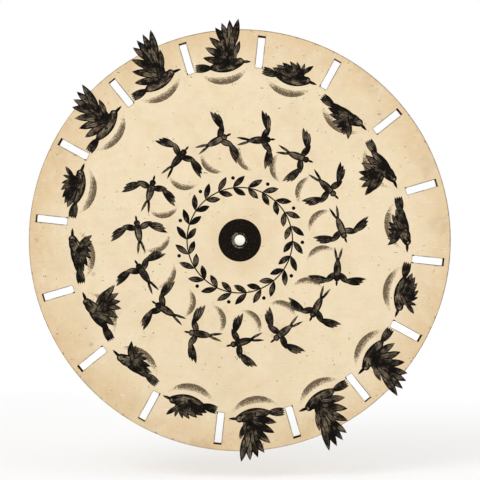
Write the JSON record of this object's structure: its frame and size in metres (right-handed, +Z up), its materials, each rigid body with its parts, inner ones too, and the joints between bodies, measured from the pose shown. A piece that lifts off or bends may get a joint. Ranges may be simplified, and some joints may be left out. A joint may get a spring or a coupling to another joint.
{
  "type": "phenakistoscope",
  "caption": "Slotted animation disc of printed card clamped on a brass hub that spins freely in front of a turned wooden handle.",
  "frame": {"origin": "middle of the hand grip, on the spin axis", "axes": "+Y along the spin axis from the disc back along the handle, +Z up in the picture, +X to the right in the picture"},
  "size_m": [0.24, 0.1441, 0.2524],
  "materials": {
    "varnished_mahogany": "satin",
    "ferrule_brass": "satin",
    "pin_brass": "satin",
    "spindle_steel": "satin",
    "washer_bronze": "satin",
    "bone": "satin",
    "hub_brass": "satin",
    "pad_leather": "matte",
    "back_paper": "matte",
    "pasteboard": "matte",
    "printed_paper": "matte",
    "nut_brass": "satin"
  },
  "bodies": {
    "handle": {"handle": "varnished_mahogany", "ferrule": "ferrule_brass", "ferrule_pins": "pin_brass", "spindle": "spindle_steel", "rear_thrust_washer": "washer_bronze", "front_thrust_washer": "washer_bronze", "end_cap": "bone"},
    "disc": {"hub_spool": "hub_brass", "leather_pad": "pad_leather", "back_sheet": "back_paper", "card_core": "pasteboard", "face_sheet": "printed_paper"},
    "nut_washer": {"nut_washer": "nut_brass"},
    "clamp_nut": {"clamp_nut": "nut_brass"}
  },
  "joints": [
    {"name": "disc_spin", "type": "hinge", "parent": "handle", "child": "disc", "pos_m": [0, -0.0732, 0], "axis": [0, -1, 0], "continuous": true},
    {"name": "nut_travel", "type": "slide", "parent": "disc", "child": "nut_washer", "axis": [0, -1, 0], "range_m": [0, 0.00175]},
    {"name": "nut_turn", "type": "hinge", "parent": "nut_washer", "child": "clamp_nut", "pos_m": [0, -0.07845, 0], "axis": [0, -1, 0], "range_deg": [0, 1261]}
  ],
  "couplings": [
    {"joint": "nut_turn", "follows": "nut_travel", "rad_per_m": 12566}
  ]
}
